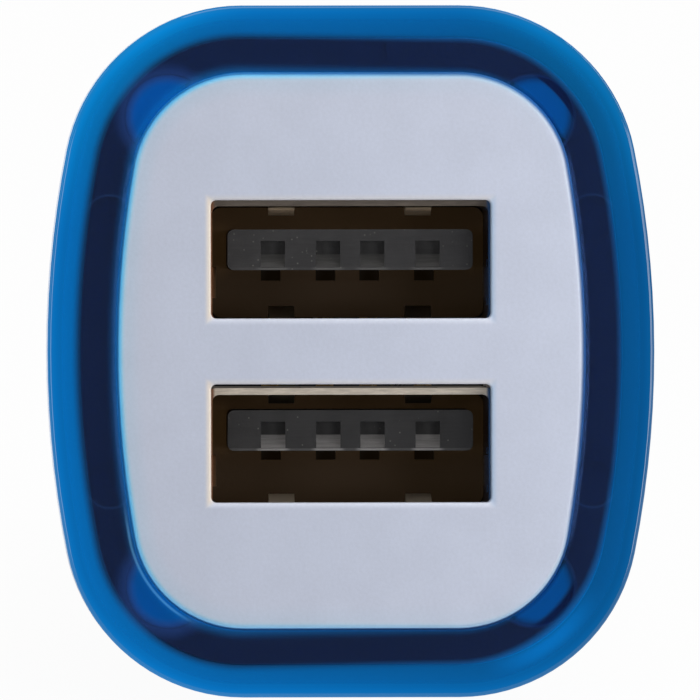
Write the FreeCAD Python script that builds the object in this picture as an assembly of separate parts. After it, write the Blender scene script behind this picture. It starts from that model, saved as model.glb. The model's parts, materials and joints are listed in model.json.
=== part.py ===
import FreeCAD, Part
import math
import os

# A plug-in charger for a car's twelve volt socket, with two stacked USB ports in its head.
# It is drawn along its own axis first: depth runs back from the face plate to the tip along +Y,
# X runs across the face and Z up it. All sizes are millimetres. At the end the whole charger is
# laid down on its side, as it rests on a table, and centred over the middle of its footprint.

# General fits
fit_gap = 0.05
slide_gap = 0.12
edge_gap = 0.15

# Face plate: a shallow white cap with a drafted edge, two windows, a skirt and four feet.
# The bands are the widths of plate left beside and above the windows.
plate_side_band = 4.175
plate_top_band = 5.665
plate_side_radius = 47.5
plate_corner_radius = 5.0
plate_thickness = 1.6
plate_edge_round = 0.2
plate_edge_band = 0.3
plate_edge_flare = 0.25
skirt_wall = 1.0
skirt_end = 7.0
foot_radius = 1.9
foot_front = 2.2
foot_side_inset = 2.25
foot_top_inset = 1.9

# Windows for the two ports
window_width = 12.65
window_height = 5.35
window_corner = 0.25
window_edge_round = 0.1
window_pitch = 8.32

# Light collar: the clear blue ring around the head, as bands beside and above the plate
collar_side_band = 3.27
collar_top_band = 3.19
collar_side_radius = 46.8
collar_corner_radius = 8.14
collar_setback = 0.35
collar_front_wall = 1.3
collar_side_wall = 1.5
collar_widest = 6.2
collar_rear = 8.8
collar_front_taper = 0.06
collar_rear_taper = 0.45
collar_edge_round = 0.18
boss_radius = 1.0
boss_height = 0.3
boss_inset = 2.85
boss_rise = 6.0
lug_width = 3.2
lug_height = 0.95
lug_inset = 0.47

# Main body: head, neck and barrel in one moulding
body_wall = 1.3
neck_start = 9.2
neck_run = 7.45
neck_sections = 5
barrel_radius = 10.3
barrel_draft = 0.25
front_land = 4.6
light_window_radius = 0.9
light_window_depth = 5.0
rail_setback = 1.4
rail_length = 8.0
rail_overlap = 0.8
rail_height = 1.1

# Circuit board
board_thickness = 1.6
board_front = 3.0
board_skirt_gap = 0.35
board_bore_gap = 0.6
board_strip_gap = 0.45
board_spare = 2.25

# USB receptacles
receptacle_pitch = 8.53
receptacle_drop = 0.26
shell_inner_width = 12.5
shell_inner_height = 5.12
shell_sheet = 0.3
shell_corner = 0.45
shell_length = 13.9
shell_lip_length = 0.5
shell_lip_flare = 0.3
finger_spread = 6.2
finger_width = 1.17
finger_start = 1.0
finger_length = 4.6
roof_finger_dip = 0.42
floor_finger_dip = 0.6
side_finger_dip = 0.21
finger_dip_share = 0.55
finger_return_share = 0.35
finger_sheet = 0.2
finger_slot_margin = 0.34
side_finger_height = 1.4
side_finger_drop = 0.9
tab_width = 1.2
tab_places = (4.0, 11.0)

# Insulators and contacts inside the receptacles
tongue_width = 11.1
tongue_height = 1.84
tongue_pitch = 8.18
tongue_lift = 0.5
tongue_setback = 1.0
tongue_corner = 0.3
insulator_block = 3.6
contact_offsets = (-3.5, -1.0, 1.0, 3.5)
contact_width = 0.8
contact_sheet = 0.2
contact_start = 0.9
contact_foot = 1.3
recess_width = 1.1
recess_height = 0.6
recess_drop = 0.52
recess_depth = 0.9
lead_in_edge = 0.12
slot_width = 0.9
slot_height = 0.5
slot_depth = 2.0

# Ground contacts: two bowed spring strips hinged in the sides of the barrel
strip_width = 5.0
strip_sheet = 0.4
strip_stand_out = 1.0
strip_length = 20.2
strip_peak_reach = 9.5
strip_tuck_side = 1.0
strip_tuck_length = 1.2
hinge_inset = 1.1
hinge_setback = 6.0
hinge_bar_radius = 0.5
hinge_bar_seat = 0.6
strip_press_angle = 5.5

# Nose cap, tip contact and spring
nose_length = 8.0
nose_step = 0.4
nose_flange_length = 1.6
nose_tip_radius = 5.0
nose_bulge = 1.1
nose_edge_round = 0.5
spigot_length = 3.0
spigot_wall = 1.5
nose_end_wall = 2.8
tip_chamber_radius = 3.75
tip_chamber_spare = 1.0
tip_radius = 2.75
tip_reach = 4.6
tip_dome = 1.3
tip_flange_thickness = 1.2
tip_stub_radius = 1.7
tip_stub_length = 1.4
tip_travel = 2.5
spring_wire_radius = 0.28
spring_mean_radius = 2.3
spring_half_turns = 9
seat_radius = 3.3
seat_thickness = 0.6
prong_width = 4.0
prong_length = 2.4
prong_thickness = 0.5

# Board components
drum_flange_radius = 4.2
drum_flange_height = 1.0
drum_core_radius = 2.2
drum_roof_gap = 0.76
winding_radius = 3.7
input_can_radius = 3.15
input_can_length = 8.0
output_can_radius = 2.5
output_can_length = 7.0
lead_radius = 0.3
lead_spacing = 2.5
lead_run = 1.2
regulator_size = (3.9, 4.9, 1.5)
regulator_lead_count = 4
controller_size = (1.6, 2.9, 1.1)
controller_lead_count = 3
chip_lead_width = 0.4
chip_lead_reach = 1.0
chip_lead_sheet = 0.2
diode_size = (4.3, 2.6, 2.1)
diode_tab_width = 1.4
diode_tab_reach = 0.5
led_size = (0.9, 1.6, 0.8)
chip_part_size = (0.8, 1.6, 0.5)
chip_part_pitch = 2.0
chip_part_count = 4
small_capacitor_height = 0.8
component_gap = 1.6

# Places that follow from the sizes above
plate_half_width = window_width / 2 + plate_side_band
plate_half_height = (window_pitch + window_height) / 2 + plate_top_band
collar_half_width = plate_half_width + collar_side_band
collar_half_height = plate_half_height + collar_top_band
foot_side = plate_half_width - foot_side_inset
foot_rise = plate_half_height - foot_top_inset
boss_side = collar_half_width - boss_inset
collar_front_inside = collar_setback + collar_front_wall
body_front = collar_front_inside + fit_gap
receptacle_front = plate_thickness + fit_gap
receptacle_rear = receptacle_front + shell_length
tongue_front = receptacle_front + tongue_setback
neck_end = receptacle_rear + neck_run
barrel_root_radius = barrel_radius + barrel_draft
barrel_bore = barrel_radius - body_wall
board_face = board_thickness / 2
board_head_half = plate_half_width + plate_edge_flare - skirt_wall - board_skirt_gap
board_head_end = receptacle_rear + fit_gap
board_rail_half = barrel_bore - board_bore_gap
rail_start = board_head_end + rail_setback
rail_end = rail_start + rail_length
drum_height = math.sqrt(barrel_bore ** 2 - drum_flange_radius ** 2) - board_face - drum_roof_gap

# Upper parts in order along the board: each follows the one before, and the barrel holds them all
parts_front = receptacle_rear + fit_gap + contact_foot
upper_lengths = (
    controller_size[1],
    chip_part_size[1],
    2 * drum_flange_radius,
    regulator_size[1],
    diode_size[1],
)
upper_end = parts_front + sum(upper_lengths) + len(upper_lengths) * component_gap
board_end = upper_end + board_spare + prong_length
barrel_end = board_end + fit_gap + spigot_length
hinge_side = barrel_radius - hinge_inset
hinge_depth = barrel_end - hinge_setback
strip_free_end = hinge_depth - strip_length
strip_free_side = barrel_bore - strip_tuck_side
strip_press = strip_length * math.sin(math.radians(strip_press_angle))
board_tail_half = strip_free_side - strip_sheet - strip_press - board_strip_gap
nose_end = barrel_end + nose_length
tip_shoulder = nose_end - nose_end_wall
tip_flange_front = tip_shoulder - fit_gap
tip_flange_rear = tip_flange_front - tip_flange_thickness
tip_end = nose_end + tip_reach
seat_front = board_end + fit_gap + seat_thickness
tiny = 1e-4

plate_form = (plate_half_width, plate_half_height, plate_side_radius, plate_corner_radius)
collar_form = (collar_half_width, collar_half_height, collar_side_radius, collar_corner_radius)
body_inset = -(collar_side_wall + fit_gap)
cavity_inset = body_inset - body_wall


def point(x, y, z):
    return FreeCAD.Vector(x, y, z)


def box(x_range, y_range, z_range):
    """Box between two values on each axis, given in either order."""
    lows = [min(pair) for pair in (x_range, y_range, z_range)]
    sizes = [max(pair) - min(pair) for pair in (x_range, y_range, z_range)]
    return Part.makeBox(*sizes, point(*lows))


def rod(radius, start, end):
    """Round rod between two points."""
    axis = end.sub(start)
    return Part.makeCylinder(radius, axis.Length, start, axis)


def joined(solids):
    """One solid out of several that touch or overlap."""
    first, *rest = solids
    return first.multiFuse(rest).removeSplitter() if rest else first


def outline_points(form, grow):
    """Joints and arc middles of the head's outline, clockwise from the top flat's left end.

    The outline has a flat top and bottom, four round corners and two bowed sides.
    It is moved outward by grow, so two outlines of one form are parallel.
    """
    half_width, half_height, side_radius, corner_radius = (size + grow for size in form)
    side_x = half_width - side_radius
    corner_z = half_height - corner_radius
    corner_x = side_x + math.sqrt((side_radius - corner_radius) ** 2 - corner_z ** 2)
    tangent = math.atan2(corner_z, corner_x - side_x)
    middle = (tangent + math.pi / 2) / 2
    joint = (side_x + side_radius * math.cos(tangent), side_radius * math.sin(tangent))
    bend = (corner_x + corner_radius * math.cos(middle), corner_z + corner_radius * math.sin(middle))
    quarter = [(0, half_height), (corner_x, half_height), bend, joint, (half_width, 0)]
    right = quarter + [(x, -z) for x, z in reversed(quarter[:-1])]
    left = [(-x, z) for x, z in reversed(right[1:-1])]
    ring = right + left
    return ring[-1:] + ring[:-1]


def round_points(form, grow, radius):
    """The same number of points on a circle, at the angles that the outline's points have."""
    return [
        (radius * x / math.hypot(x, z), radius * z / math.hypot(x, z))
        for x, z in outline_points(form, grow)
    ]


def wire_through(points, depth):
    """Closed wire of three-point arcs, or lines where the three points are in line."""
    places = [point(x, depth, z) for x, z in points]
    places.append(places[0])
    edges = []
    for start, middle, end in zip(places[0:-2:2], places[1:-1:2], places[2::2]):
        if middle.sub(start).cross(end.sub(start)).Length < tiny:
            edges.append(Part.LineSegment(start, end).toShape())
        else:
            edges.append(Part.Arc(start, middle, end).toShape())
    return Part.Wire(edges)


def outline_wire(form, grow, depth):
    return wire_through(outline_points(form, grow), depth)


def outline_solid(form, grow, front, rear):
    """Straight-sided solid of the head's outline between two depths."""
    face = Part.Face(outline_wire(form, grow, front))
    return face.extrude(point(0, rear - front, 0))


def tapered_solid(form, sections):
    """Solid through outlines of one form, given as pairs of depth and growth."""
    wires = [outline_wire(form, grow, depth) for depth, grow in sections]
    return Part.makeLoft(wires, True, True)


def neck_solid(inset, radius):
    """Smooth change from the head's outline to the round barrel."""
    square = outline_points(collar_form, inset)
    circle = round_points(collar_form, inset, radius)
    wires = []
    for step in range(neck_sections):
        share = step / (neck_sections - 1)
        ease = share * share * (3 - 2 * share)
        mix = [
            (a * (1 - ease) + c * ease, b * (1 - ease) + d * ease)
            for (a, b), (c, d) in zip(square, circle)
        ]
        wires.append(wire_through(mix, neck_start + share * (neck_end - neck_start)))
    return Part.makeLoft(wires, True, False)


def turned(profile):
    """Solid turned about the plug's axis from a closed run of (radius, depth) points."""
    places = [point(radius, depth, 0) for radius, depth in profile]
    face = Part.Face(Part.makePolygon(places + places[:1]))
    return face.revolve(point(0, 0, 0), point(0, 1, 0), 360)


def rounded_bar(width, height, corner, front, rear, centre_z):
    """Bar along the depth with a round-cornered rectangular section."""
    bar = box((-width / 2, width / 2), (front, rear), (centre_z - height / 2, centre_z + height / 2))
    along = [edge for edge in bar.Edges if edge.BoundBox.YLength > (rear - front) / 2]
    return bar.makeFillet(corner, along)


def edges_at_depth(shape, depth):
    """Edges that lie in the plane at one depth."""
    return [
        edge for edge in shape.Edges
        if abs(edge.BoundBox.YMin - depth) < tiny and abs(edge.BoundBox.YMax - depth) < tiny
    ]


def four_ways(side, rise):
    return [(x, z) for x in (-side, side) for z in (-rise, rise)]


def window_centres():
    return (window_pitch / 2, -window_pitch / 2)


def face_plate():
    edge_end = collar_front_inside
    front = outline_solid(plate_form, 0, 0, plate_edge_band)
    front = front.makeFillet(plate_edge_round, edges_at_depth(front, 0))
    flare = tapered_solid(plate_form, [(plate_edge_band, 0), (edge_end, plate_edge_flare)])
    skirt = outline_solid(plate_form, plate_edge_flare, edge_end, skirt_end)
    feet = [
        rod(foot_radius, point(x, foot_front, z), point(x, skirt_end, z))
        for x, z in four_ways(foot_side, foot_rise)
    ]
    hollow = outline_solid(plate_form, plate_edge_flare - skirt_wall, plate_thickness, skirt_end)
    cap = joined([front, flare, skirt]).cut(hollow)
    cap = joined([cap] + feet)
    for centre in window_centres():
        window = rounded_bar(window_width, window_height, window_corner,
                             -plate_thickness, 2 * plate_thickness, centre)
        cap = cap.cut(window)
    rims = [
        edge for edge in edges_at_depth(cap, 0)
        if max(abs(edge.BoundBox.XMin), abs(edge.BoundBox.XMax)) < window_width / 2 + fit_gap
        and abs(edge.BoundBox.ZMin) < (window_pitch + window_height) / 2 + fit_gap
        and abs(edge.BoundBox.ZMax) < (window_pitch + window_height) / 2 + fit_gap
    ]
    cap = cap.makeFillet(window_edge_round, rims)
    return cap.cut(light_channel(board_head_half - skirt_wall))


def light_channel(inner):
    """Cross hole on both sides that lets the board's lamps light the collar."""
    reach = collar_half_width + body_inset + fit_gap
    holes = [
        rod(light_window_radius, point(side * inner, light_window_depth, 0),
            point(side * reach, light_window_depth, 0))
        for side in (-1, 1)
    ]
    return Part.makeCompound(holes)


def collar_bosses(extra, height):
    """Four round bosses and the top key lug that seat in the body's front face."""
    bottom = collar_front_inside + height
    bosses = [
        rod(boss_radius + extra, point(x, collar_front_inside, z), point(x, bottom, z))
        for x, z in four_ways(boss_side, boss_rise)
    ]
    lug_top = collar_half_height + body_inset - lug_inset + lug_height / 2
    lug = box((-lug_width / 2 - extra, lug_width / 2 + extra), (collar_front_inside, bottom),
              (lug_top - lug_height - extra, lug_top + extra))
    return bosses + [lug]


def light_collar():
    outer = tapered_solid(collar_form, [
        (collar_setback, -collar_front_taper),
        (collar_widest, 0),
        (collar_rear, -collar_rear_taper),
    ])
    outer = outer.makeFillet(collar_edge_round, edges_at_depth(outer, collar_setback))
    inside = outline_solid(collar_form, -collar_side_wall, collar_front_inside, collar_rear)
    opening = tapered_solid(plate_form, [
        (0, fit_gap),
        (collar_front_inside, plate_edge_flare + fit_gap),
    ])
    skirt_room = outline_solid(plate_form, plate_edge_flare + fit_gap, collar_front_inside, skirt_end)
    ring = outer.cut(inside).cut(opening)
    bosses = [boss.cut(skirt_room) for boss in collar_bosses(0, boss_height)]
    return joined([ring] + bosses)


def hinge_centres():
    return [(side, point(side * hinge_side, hinge_depth, 0)) for side in (-1, 1)]


def main_body():
    land_start = barrel_end - front_land
    outside = joined([
        outline_solid(collar_form, body_inset, body_front, neck_start),
        neck_solid(body_inset, barrel_root_radius),
        Part.makeCone(barrel_root_radius, barrel_radius, land_start - neck_end,
                      point(0, neck_end, 0), point(0, 1, 0)),
        rod(barrel_radius, point(0, land_start, 0), point(0, barrel_end, 0)),
    ])
    skirt_seat = outline_solid(plate_form, plate_edge_flare + fit_gap, body_front, skirt_end + fit_gap)
    cavity = joined([
        outline_solid(collar_form, cavity_inset, skirt_end + fit_gap, neck_start),
        neck_solid(cavity_inset, barrel_bore),
        rod(barrel_bore, point(0, neck_end, 0), point(0, barrel_end, 0)),
    ])
    shell = outside.cut(skirt_seat).cut(cavity)
    for x, z in four_ways(foot_side, foot_rise):
        pocket = rod(foot_radius + fit_gap, point(x, body_front, z), point(x, skirt_end + fit_gap, z))
        shell = shell.cut(pocket)
    for boss in collar_bosses(fit_gap, boss_height + fit_gap):
        shell = shell.cut(boss)
    shell = shell.cut(light_channel(plate_half_width - skirt_wall))
    half_slot = strip_width / 2 + edge_gap
    barrel_reach = barrel_radius + strip_stand_out
    slot_start = strip_free_end + strip_tuck_length
    slot_end = hinge_depth + hinge_bar_radius + strip_sheet + 2 * edge_gap + fit_gap
    for side, centre in hinge_centres():
        slot = box((0, side * barrel_reach), (slot_start, slot_end), (-half_slot, half_slot))
        shell = shell.cut(slot)
        half_bar = point(0, 0, half_slot + hinge_bar_seat)
        bar = rod(hinge_bar_radius, centre.sub(half_bar), centre.add(half_bar))
        shell = joined([shell, bar])
    rail_foot = board_face + fit_gap
    rails = [
        box((side * (board_rail_half - rail_overlap), side * barrel_reach), (rail_start, rail_end),
            (end * rail_foot, end * (rail_foot + rail_height)))
        for side in (-1, 1) for end in (-1, 1)
    ]
    return joined([shell] + [rail.common(outside) for rail in rails])


def nose_cap():
    spigot_radius = barrel_bore - fit_gap
    spigot_start = barrel_end - spigot_length
    spigot_bore = spigot_radius - spigot_wall
    flange_end = barrel_end + nose_flange_length
    flange_radius = barrel_radius - nose_step
    bore = tip_radius + slide_gap
    chamber_start = tip_shoulder - tip_flange_thickness - tip_travel - tip_chamber_spare
    start = point(flange_radius, flange_end, 0)
    end = point(nose_tip_radius, nose_end, 0)
    slope = end.sub(start)
    outward = point(-slope.y, slope.x, 0)
    outward.normalize()
    if outward.x < 0:
        outward = outward.negative()
    middle = start.add(slope.multiply(0.5)).add(outward.multiply(nose_bulge))
    run = [
        point(nose_tip_radius, nose_end, 0),
        point(bore, nose_end, 0),
        point(bore, tip_shoulder, 0),
        point(tip_chamber_radius, tip_shoulder, 0),
        point(tip_chamber_radius, chamber_start, 0),
        point(spigot_bore, chamber_start, 0),
        point(spigot_bore, spigot_start, 0),
        point(spigot_radius, spigot_start, 0),
        point(spigot_radius, barrel_end, 0),
        point(flange_radius, barrel_end, 0),
        point(flange_radius, flange_end, 0),
    ]
    edges = [Part.LineSegment(a, b).toShape() for a, b in zip(run[:-1], run[1:])]
    edges.append(Part.Arc(run[-1], middle, run[0]).toShape())
    cap = Part.Face(Part.Wire(edges)).revolve(point(0, 0, 0), point(0, 1, 0), 360)
    rim = [edge for edge in edges_at_depth(cap, nose_end) if edge.BoundBox.XMax > nose_tip_radius - fit_gap]
    return cap.makeFillet(nose_edge_round, rim)


def tip_contact():
    stub_end = tip_flange_rear - tip_stub_length
    body = turned([
        (0, stub_end),
        (tip_stub_radius, stub_end),
        (tip_stub_radius, tip_flange_rear),
        (tip_chamber_radius - slide_gap, tip_flange_rear),
        (tip_chamber_radius - slide_gap, tip_flange_front),
        (tip_radius, tip_flange_front),
        (tip_radius, tip_end),
        (0, tip_end),
    ])
    return body.makeFillet(tip_dome, edges_at_depth(body, tip_end))


def tip_spring():
    """Coil of round wire between the seat and the tip's flange, made of half rings.

    Each half ring leans by the coil's rise, so it meets the next one in line.
    """
    start = seat_front + spring_wire_radius
    rise = (tip_flange_rear - spring_wire_radius - start) / spring_half_turns
    halves = []
    for number in range(spring_half_turns):
        side = 1 if number % 2 == 0 else -1
        begin = point(side * spring_mean_radius, start + number * rise, 0)
        end = point(-side * spring_mean_radius, start + (number + 1) * rise, 0)
        axis = end.sub(begin).cross(point(0, 0, side))
        wire = Part.Face(Part.Wire(Part.makeCircle(spring_wire_radius, begin, point(0, 0, 1))))
        halves.append(wire.revolve(begin.add(end).multiply(0.5), axis, 180))
    return joined(halves)


def spring_seat():
    disc_rear = board_end + fit_gap
    disc = rod(seat_radius, point(0, disc_rear, 0), point(0, seat_front, 0))
    prongs = [
        box((-prong_width / 2, prong_width / 2), (board_end - prong_length, disc_rear),
            (end * board_face, end * (board_face + prong_thickness)))
        for end in (-1, 1)
    ]
    return joined([disc] + prongs)


def strip_outline(side):
    """Bowed strip's edge faces: an outer arc and one parallel to it, a sheet's thickness inside."""
    outer_start = point(hinge_side + hinge_bar_radius + fit_gap + strip_sheet, hinge_depth, 0)
    outer_peak = point(barrel_radius + strip_stand_out, hinge_depth - strip_peak_reach, 0)
    outer_end = point(strip_free_side, strip_free_end, 0)
    outer = Part.Arc(outer_start, outer_peak, outer_end)
    middle = outer.toShape().Curve.Center
    share = 1 - strip_sheet / outer.toShape().Curve.Radius
    inner = [middle.add(place.sub(middle).multiply(share)) for place in (outer_start, outer_peak, outer_end)]
    edges = [
        outer.toShape(),
        Part.LineSegment(outer_end, inner[2]).toShape(),
        Part.Arc(inner[2], inner[1], inner[0]).toShape(),
        Part.LineSegment(inner[0], outer_start).toShape(),
    ]
    face = Part.Face(Part.Wire(edges))
    return face if side > 0 else face.mirror(point(0, 0, 0), point(1, 0, 0))


def ground_contact(side):
    half = strip_width / 2
    strip = strip_outline(side)
    strip.translate(point(0, 0, -half))
    strip = strip.extrude(point(0, 0, strip_width))
    bottom = point(side * hinge_side, hinge_depth, -half)
    top = point(side * hinge_side, hinge_depth, half)
    bore = hinge_bar_radius + fit_gap
    roll = rod(bore + strip_sheet, bottom, top)
    return joined([strip, roll]).cut(rod(bore, bottom, top))


def main_board():
    corners = [
        (board_head_half, board_front),
        (board_head_half, board_head_end),
        (board_rail_half, board_head_end),
        (board_rail_half, rail_end),
        (board_tail_half, rail_end),
        (board_tail_half, board_end),
    ]
    edge = corners + [(-x, y) for x, y in reversed(corners)]
    places = [point(x, y, -board_face) for x, y in edge]
    face = Part.Face(Part.makePolygon(places + places[:1]))
    return face.extrude(point(0, 0, board_thickness))


def finger(width, reach, start):
    """Spring finger cut from the sheet: it dips into the port and comes back.

    It is drawn on the ceiling, with its outer face at zero height.
    """
    dip_at = start + finger_length * finger_dip_share
    end = start + finger_length
    path = [(start, 0), (dip_at, -reach), (end, -reach * finger_return_share)]
    under = [(y, z - finger_sheet) for y, z in reversed(path)]
    places = [point(-width / 2, y, z) for y, z in path + under]
    face = Part.Face(Part.makePolygon(places + places[:1]))
    return face.extrude(point(width, 0, 0))


def receptacle_centre(level):
    return level * receptacle_pitch / 2 - receptacle_drop


def usb_shell(level):
    """Folded sheet shell with plain upper edge, flared lower lip, spring fingers and board tabs."""
    centre = receptacle_centre(level)
    outer_width = shell_inner_width + 2 * shell_sheet
    outer_height = shell_inner_height + 2 * shell_sheet
    inner_corner = shell_corner - shell_sheet / 2
    shell = rounded_bar(outer_width, outer_height, shell_corner, receptacle_front, receptacle_rear, centre)
    shell = shell.cut(rounded_bar(shell_inner_width, shell_inner_height, inner_corner,
                                  receptacle_front, receptacle_rear, centre))
    lip_rear = receptacle_front + shell_lip_length
    floor_z = centre - shell_inner_height / 2
    lip = Part.Face(Part.makePolygon([
        point(-window_width / 2, lip_rear, floor_z),
        point(-window_width / 2, receptacle_front, floor_z - shell_lip_flare),
        point(-window_width / 2, receptacle_front, floor_z - shell_lip_flare - shell_sheet),
        point(-window_width / 2, lip_rear, floor_z - shell_sheet),
        point(-window_width / 2, lip_rear, floor_z),
    ])).extrude(point(window_width, 0, 0))
    plain = box((-outer_width, outer_width), (receptacle_front, lip_rear), (floor_z, floor_z - 2 * shell_sheet))
    shell = joined([shell.cut(plain), lip])
    slot_start = receptacle_front + finger_start
    slot_end = slot_start + finger_length + finger_slot_margin
    half_slot = finger_width / 2 + finger_slot_margin
    fingers = []
    for end in (-1, 1):
        face_z = centre + end * shell_inner_height / 2
        for x in (-finger_spread / 2, finger_spread / 2):
            shell = shell.cut(box((x - half_slot, x + half_slot), (slot_start, slot_end),
                                  (face_z - end * fit_gap, face_z + end * 2 * shell_sheet)))
            dip = roof_finger_dip if end > 0 else floor_finger_dip
            strip = finger(finger_width, dip, slot_start - fit_gap)
            strip.translate(point(0, 0, finger_sheet))
            if end < 0:
                strip = strip.mirror(point(0, 0, 0), point(0, 0, 1))
            strip.translate(point(x, 0, face_z))
            fingers.append(strip)
    half_side = side_finger_height / 2 + finger_slot_margin
    side_z = centre - side_finger_drop
    for side in (-1, 1):
        face_x = side * shell_inner_width / 2
        shell = shell.cut(box((face_x - side * fit_gap, face_x + side * 2 * shell_sheet),
                              (slot_start, slot_end), (side_z - half_side, side_z + half_side)))
        strip = finger(side_finger_height, side_finger_dip, slot_start - fit_gap)
        strip.translate(point(0, 0, finger_sheet))
        strip.rotate(point(0, 0, 0), point(0, 1, 0), side * 90)
        strip.translate(point(face_x, 0, side_z))
        fingers.append(strip)
    tabs = []
    tab_top = centre - level * (shell_inner_height / 2 - shell_corner)
    for place in tab_places:
        tab_front = receptacle_front + place
        for side in (-1, 1):
            outer_x = side * outer_width / 2
            tabs.append(box((outer_x - side * shell_sheet, outer_x), (tab_front, tab_front + tab_width),
                            (level * board_face, tab_top)))
    return joined([shell] + fingers + tabs)


def tongue_centre(level):
    return level * tongue_pitch / 2 + tongue_lift


def usb_insulator(level):
    """Rear block and tongue, with front recesses, lead-ins, contact grooves and rear slots."""
    centre = receptacle_centre(level)
    middle = tongue_centre(level)
    bottom = middle - tongue_height / 2
    top = middle + tongue_height / 2
    block_front = receptacle_rear - insulator_block
    block = box((-shell_inner_width / 2 + fit_gap, shell_inner_width / 2 - fit_gap),
                (block_front, receptacle_rear),
                (centre - shell_inner_height / 2 + fit_gap, centre + shell_inner_height / 2 - fit_gap))
    upright = [edge for edge in block.Edges if edge.BoundBox.YLength > insulator_block / 2]
    block = block.makeFillet(shell_corner, upright)
    tongue = rounded_bar(tongue_width, tongue_height, tongue_corner, tongue_front, block_front, middle)
    solid = joined([block, tongue])
    recess_top = top - recess_drop
    recess_bottom = recess_top - recess_height
    groove = contact_width + 2 * fit_gap
    for x in contact_offsets:
        solid = solid.cut(box((x - recess_width / 2, x + recess_width / 2),
                              (tongue_front, tongue_front + recess_depth), (recess_bottom, recess_top)))
        lead_in = Part.Face(Part.makePolygon([
            point(x - recess_width / 2, tongue_front, bottom + lead_in_edge),
            point(x - recess_width / 2, tongue_front + recess_depth, recess_bottom),
            point(x - recess_width / 2, tongue_front, recess_bottom),
            point(x - recess_width / 2, tongue_front, bottom + lead_in_edge),
        ])).extrude(point(recess_width, 0, 0))
        solid = solid.cut(lead_in)
        solid = solid.cut(box((x - groove / 2, x + groove / 2),
                              (tongue_front + contact_start - fit_gap, receptacle_rear),
                              (bottom, bottom + contact_sheet + fit_gap)))
        solid = solid.cut(box((x - slot_width / 2, x + slot_width / 2),
                              (block_front, block_front + slot_depth), (bottom - slot_height, bottom)))
    return solid


def usb_contacts(level):
    """Four flat contacts along the tongue, each with a leg and a foot on the board."""
    bottom = tongue_centre(level) - tongue_height / 2
    leg_front = receptacle_rear + fit_gap
    leg_rear = leg_front + contact_sheet
    face = level * board_face
    contacts = []
    for x in contact_offsets:
        width = (x - contact_width / 2, x + contact_width / 2)
        blade = box(width, (tongue_front + contact_start, leg_rear), (bottom, bottom + contact_sheet))
        leg = box(width, (leg_front, leg_rear), (face, bottom + contact_sheet))
        foot = box(width, (leg_front, leg_front + contact_foot), (face, face + level * contact_sheet))
        contacts.append(joined([blade, leg, foot]))
    return Part.makeCompound(contacts)


def in_a_row(lengths):
    """Middle depths of parts that stand one behind the other along the board, gap after gap."""
    front = parts_front
    middles = []
    for length in lengths:
        middles.append(front + component_gap + length / 2)
        front += component_gap + length
    return middles


def inductor_core(depth):
    top = board_face + drum_height
    base = point(0, depth, board_face)
    return joined([
        rod(drum_flange_radius, base, point(0, depth, board_face + drum_flange_height)),
        rod(drum_core_radius, base, point(0, depth, top)),
        rod(drum_flange_radius, point(0, depth, top - drum_flange_height), point(0, depth, top)),
    ])


def inductor_winding(depth):
    low = point(0, depth, board_face + drum_flange_height + fit_gap)
    high = point(0, depth, board_face + drum_height - drum_flange_height - fit_gap)
    return rod(winding_radius, low, high).cut(rod(drum_core_radius + fit_gap, low, high))


def lying_capacitor(radius, length, depth):
    """Round can on the board's underside with two leads bent up to the board."""
    axis_z = -(board_face + fit_gap + radius)
    front = depth - (length + lead_run) / 2
    rear = front + length
    can = rod(radius, point(0, front, axis_z), point(0, rear, axis_z))
    leads = []
    for x in (-lead_spacing / 2, lead_spacing / 2):
        elbow = point(x, rear + lead_run, axis_z)
        leads.append(rod(lead_radius, point(x, rear - lead_run, axis_z), elbow))
        leads.append(rod(lead_radius, elbow, point(x, rear + lead_run, -board_face)))
        leads.append(Part.makeSphere(lead_radius, elbow))
    return joined([can] + leads)


def leaded_chip(size, depth, lead_count):
    """Moulded chip on the board's upper face with a row of feet on each side."""
    width, length, height = size
    lift = chip_lead_sheet / 2
    body = box((-width / 2, width / 2), (depth - length / 2, depth + length / 2),
               (board_face + lift, board_face + lift + height))
    pitch = length / lead_count
    leads = []
    for side in (-1, 1):
        for number in range(lead_count):
            y = depth + (number - (lead_count - 1) / 2) * pitch
            span = (y - chip_lead_width / 2, y + chip_lead_width / 2)
            foot_end = side * (width / 2 + chip_lead_reach)
            bend = side * (width / 2 + chip_lead_reach / 2)
            waist = board_face + lift + height / 2
            knee = bend - side * chip_lead_sheet
            leads.append(box((side * width / 4, bend), span, (waist, waist + chip_lead_sheet)))
            leads.append(box((bend, knee), span, (board_face, waist + chip_lead_sheet)))
            leads.append(box((knee, foot_end), span, (board_face, board_face + chip_lead_sheet)))
    return joined([body] + leads)


def rectifier_diode(depth):
    width, length, height = diode_size
    body = box((-width / 2, width / 2), (depth - length / 2, depth + length / 2),
               (board_face, board_face + height))
    tabs = [
        box((side * width / 2, side * (width / 2 + diode_tab_reach)),
            (depth - diode_tab_width / 2, depth + diode_tab_width / 2),
            (board_face, board_face + height / 2))
        for side in (-1, 1)
    ]
    return joined([body] + tabs)


def indicator_leds():
    width, length, height = led_size
    lamps = []
    for side in (-1, 1):
        edge = side * board_head_half
        lamps.append(box((edge, edge - side * width),
                         (light_window_depth - length / 2, light_window_depth + length / 2),
                         (board_face, board_face + height)))
    return Part.makeCompound(lamps)


def chip_row(depth, level, height):
    """Row of small surface-mounted parts across the board."""
    width, length, _ = chip_part_size
    parts = []
    for number in range(chip_part_count):
        x = (number - (chip_part_count - 1) / 2) * chip_part_pitch
        parts.append(box((x - width / 2, x + width / 2), (depth - length / 2, depth + length / 2),
                         (level * board_face, level * (board_face + height))))
    return Part.makeCompound(parts)


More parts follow.
